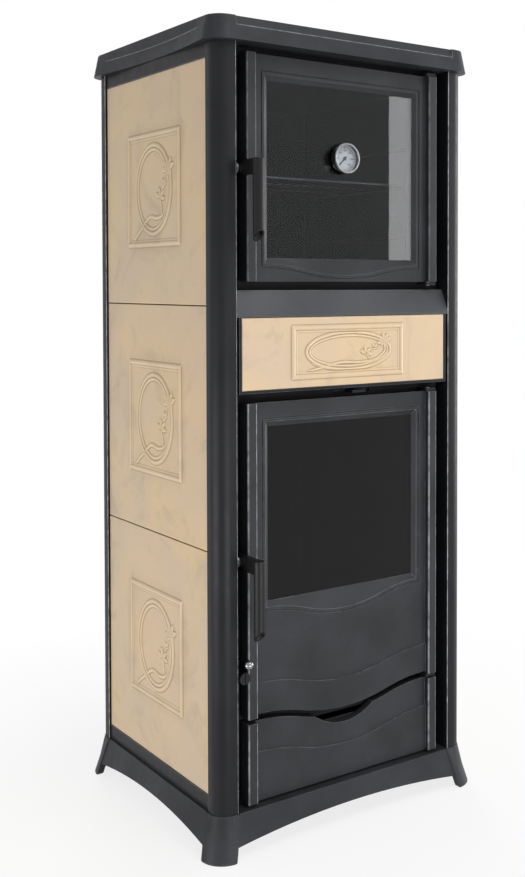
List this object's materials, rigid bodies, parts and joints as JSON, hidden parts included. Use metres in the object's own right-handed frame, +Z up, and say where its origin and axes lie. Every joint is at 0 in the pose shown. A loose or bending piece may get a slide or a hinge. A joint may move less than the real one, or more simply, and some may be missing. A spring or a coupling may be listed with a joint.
{
  "type": "wood-burning stove with oven",
  "caption": "Tall wood-burning stove: glazed firebox door, oven with thermometer above, store drawer below, ceramic tiles on the sides and across the front, flue collar at the back.",
  "frame": {"origin": "on the floor under the middle of the stove's bounding box", "axes": "+Z up, doors face -Y, +X to the right as seen from the front"},
  "size_m": [0.547, 0.548, 1.33],
  "materials": {
    "tile_glaze": "glazed ceramic",
    "door_glass": "clear ceramic glass",
    "sealing_rope": "woven rope",
    "refractory": "cast refractory",
    "cast_anthracite": "satin heat paint",
    "sheet_anthracite": "satin heat paint",
    "inner_steel": "dark steel",
    "bright_steel": "polished",
    "fixing_steel": "plain",
    "dial_white": "printed",
    "needle_black": "matt"
  },
  "bodies": {
    "body": {"ash_pan": "inner_steel", "back_panel": "sheet_anthracite", "back_panel_screws": "fixing_steel", "baffle_plate": "refractory", "base_casting": "cast_anthracite", "corner_post_front_left": "sheet_anthracite", "corner_post_front_right": "sheet_anthracite", "corner_post_rear_left": "sheet_anthracite", "corner_post_rear_right": "sheet_anthracite", "drawer_runners": "inner_steel", "firebox_face_plate": "inner_steel", "firebox_shell": "inner_steel", "flue_collar": "sheet_anthracite", "front_apron": "sheet_anthracite", "front_tile": "tile_glaze", "front_tile_holder": "sheet_anthracite", "hearth_grate": "cast_anthracite", "hinge_lugs": "sheet_anthracite", "latch_keepers": "sheet_anthracite", "log_retainer": "cast_anthracite", "oven_face_plate": "inner_steel", "oven_muffle": "inner_steel", "oven_shelf": "inner_steel", "oven_side_racks": "inner_steel", "refractory_back": "refractory", "refractory_left": "refractory", "refractory_right": "refractory", "side_carrier_left": "sheet_anthracite", "side_carrier_right": "sheet_anthracite", "side_tile_left_lower": "tile_glaze", "side_tile_left_middle": "tile_glaze", "side_tile_left_upper": "tile_glaze", "side_tile_right_lower": "tile_glaze", "side_tile_right_middle": "tile_glaze", "side_tile_right_upper": "tile_glaze", "smoke_jacket": "inner_steel", "tile_rails": "sheet_anthracite", "top_lid": "cast_anthracite"},
    "oven_door": {"oven_door_frame": "cast_anthracite", "oven_door_glass": "door_glass", "oven_glass_clips": "fixing_steel", "oven_door_gasket": "sealing_rope", "oven_door_pins": "fixing_steel", "thermometer_case": "bright_steel", "thermometer_dial": "dial_white", "thermometer_lens": "door_glass"},
    "oven_handle": {"oven_door_handle": "sheet_anthracite"},
    "thermometer_needle": {"thermometer_needle": "needle_black"},
    "fire_door": {"fire_door_frame": "cast_anthracite", "fire_door_glass": "door_glass", "fire_glass_clips": "fixing_steel", "fire_door_gasket": "sealing_rope", "fire_door_pins": "fixing_steel"},
    "fire_handle": {"fire_door_handle": "sheet_anthracite"},
    "drawer": {"drawer_front": "cast_anthracite", "drawer_box": "inner_steel"},
    "shaker": {"shaker_rod": "bright_steel", "shaker_grate": "cast_anthracite"},
    "primary_air": {"primary_air_dial": "sheet_anthracite"},
    "air_lever": {"secondary_air_lever": "sheet_anthracite"}
  },
  "joints": [
    {"name": "oven_door_hinge", "type": "hinge", "parent": "body", "child": "oven_door", "pos_m": [0.184, -0.2055, 1.0975], "axis": [0, 0, 1], "range_deg": [0, 100]},
    {"name": "oven_handle_pivot", "type": "hinge", "parent": "oven_door", "child": "oven_handle", "pos_m": [-0.2028, -0.2055, 1.095], "axis": [-1, 0, 0], "range_deg": [0, 30]},
    {"name": "thermometer_spindle", "type": "hinge", "parent": "oven_door", "child": "thermometer_needle", "pos_m": [0, -0.2093, 1.123], "axis": [0, 1, 0], "range_deg": [0, 270]},
    {"name": "fire_door_hinge", "type": "hinge", "parent": "body", "child": "fire_door", "pos_m": [0.184, -0.2055, 0.467], "axis": [0, 0, 1], "range_deg": [0, 100]},
    {"name": "fire_handle_pivot", "type": "hinge", "parent": "fire_door", "child": "fire_handle", "pos_m": [-0.2028, -0.2055, 0.469], "axis": [-1, 0, 0], "range_deg": [0, 30]},
    {"name": "drawer_slide", "type": "slide", "parent": "body", "child": "drawer", "axis": [0, -1, 0], "range_m": [0, 0.28]},
    {"name": "shaker_slide", "type": "slide", "parent": "body", "child": "shaker", "axis": [0, -1, 0], "range_m": [0, 0.04]},
    {"name": "primary_air_turn", "type": "hinge", "parent": "body", "child": "primary_air", "pos_m": [-0.2065, -0.203, 0.285], "axis": [0, 1, 0], "range_deg": [0, 90]},
    {"name": "air_lever_slide", "type": "slide", "parent": "body", "child": "air_lever", "axis": [1, 0, 0], "range_m": [-0.02, 0.02]}
  ]
}
